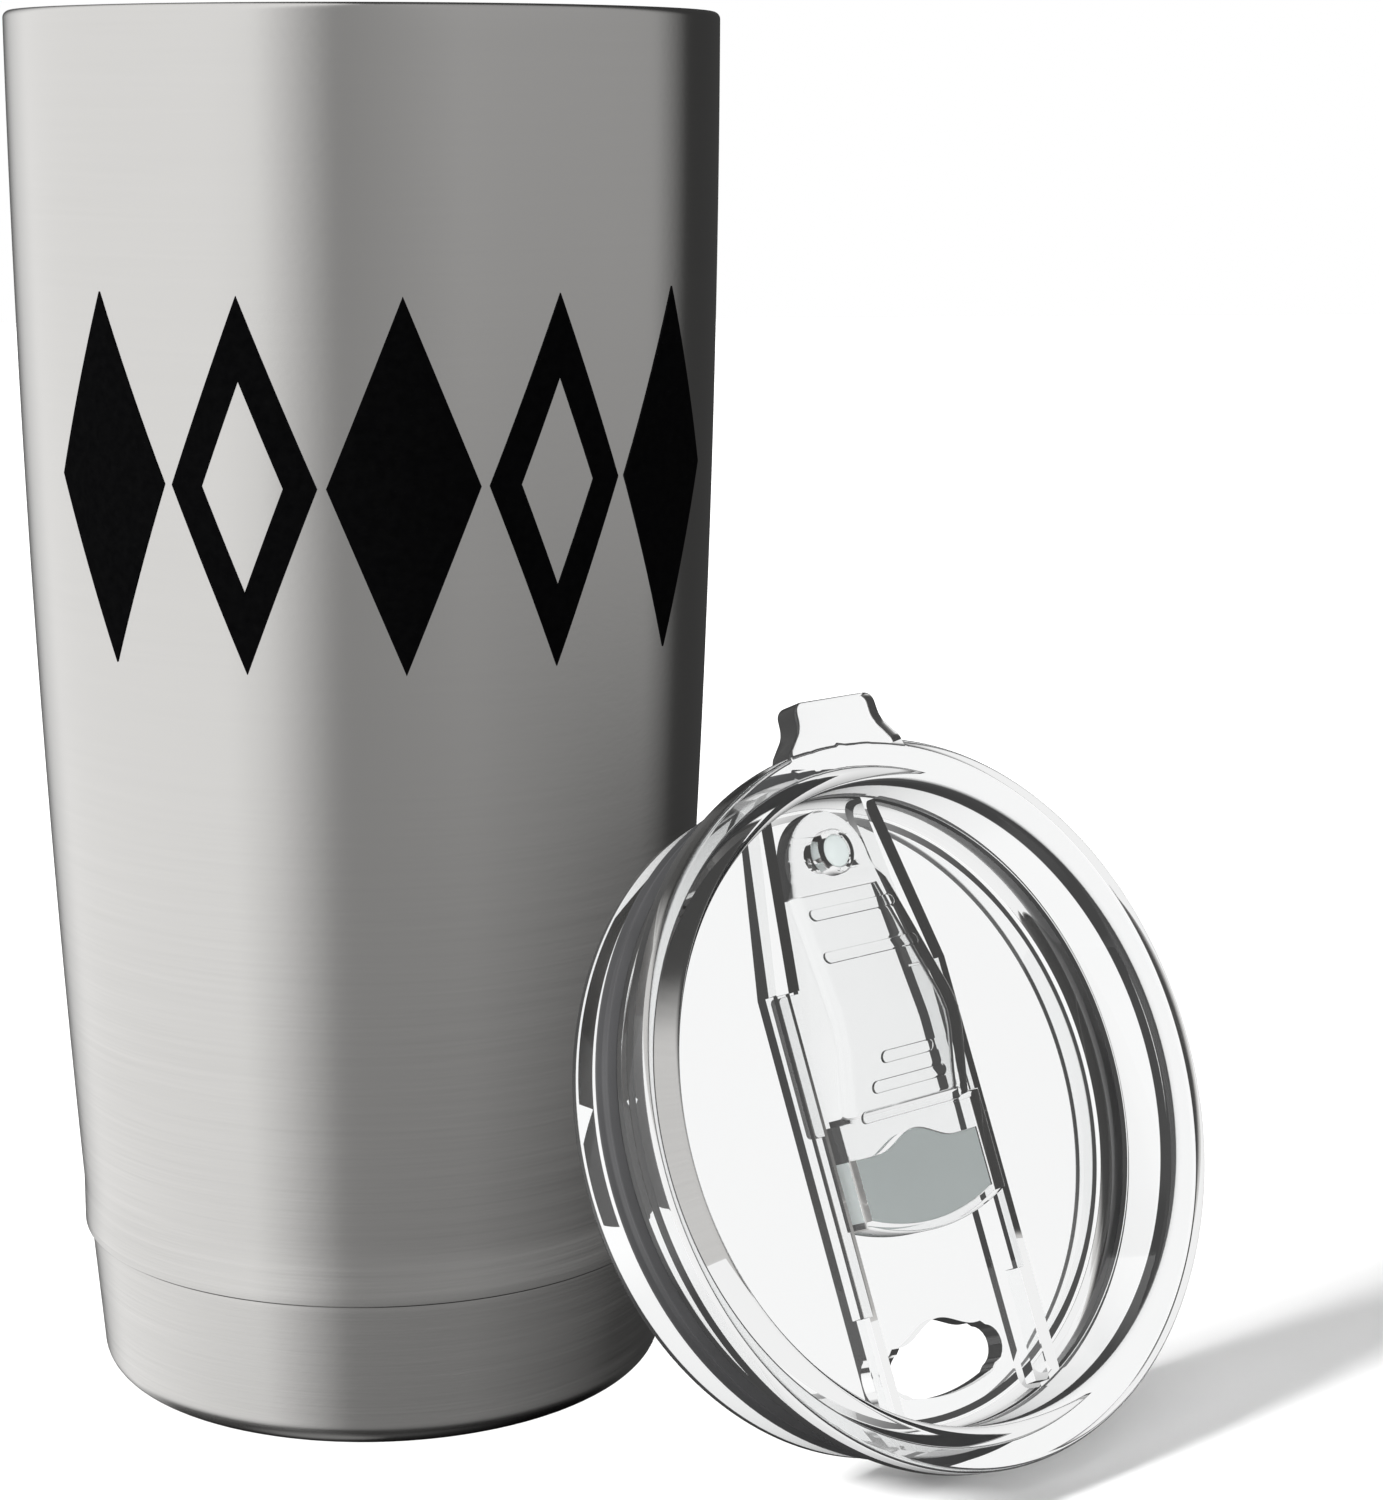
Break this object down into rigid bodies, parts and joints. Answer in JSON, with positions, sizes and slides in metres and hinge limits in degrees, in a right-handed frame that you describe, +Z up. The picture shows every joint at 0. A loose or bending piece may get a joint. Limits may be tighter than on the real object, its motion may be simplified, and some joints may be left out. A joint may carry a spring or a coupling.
{
  "type": "insulated tumbler with slide lid",
  "caption": "Tapered double-wall steel tumbler with a separate base cup; its clear lid with a sliding drinking-hole cover is off and leans against it.",
  "frame": {"origin": "centre of the tumbler's base, on the surface it stands on", "axes": "+Z up along the tumbler's axis, -Y towards the printed front, +X to the side where the lid leans"},
  "size_m": [0.1504, 0.1165, 0.1752],
  "materials": {
    "satin_steel": "satin, brushed round the wall",
    "inner_steel": "electropolished",
    "solder": "matte sealing bead",
    "getter_alloy": "sintered",
    "copper_foil": "bright foil",
    "black_ink": "satin screen print",
    "clear_plastic": "polished clear copolyester",
    "dark_silicone": "satin",
    "grey_silicone": "matte"
  },
  "bodies": {
    "tumbler": {"outer_shell": "satin_steel", "inner_liner": "inner_steel", "base_cup": "satin_steel", "vacuum_end_plate": "inner_steel", "vacuum_seal": "solder", "getter": "getter_alloy", "getter_clip": "inner_steel", "reflective_foil": "copper_foil", "printed_pattern": "black_ink"},
    "lid": {"lid_body": "clear_plastic", "lid_gasket": "dark_silicone"},
    "slider": {"slider": "clear_plastic", "slider_seal": "grey_silicone", "slider_plug": "grey_silicone"}
  },
  "joints": [
    {"name": "lid_lift", "type": "slide", "parent": "tumbler", "child": "lid", "axis": [0.5265, -0.7491, 0.4019], "range_m": [0, 0.12]},
    {"name": "slider_slide", "type": "slide", "parent": "lid", "child": "slider", "axis": [0.2311, -0.3289, -0.9157], "range_m": [0, 0.0218]}
  ]
}
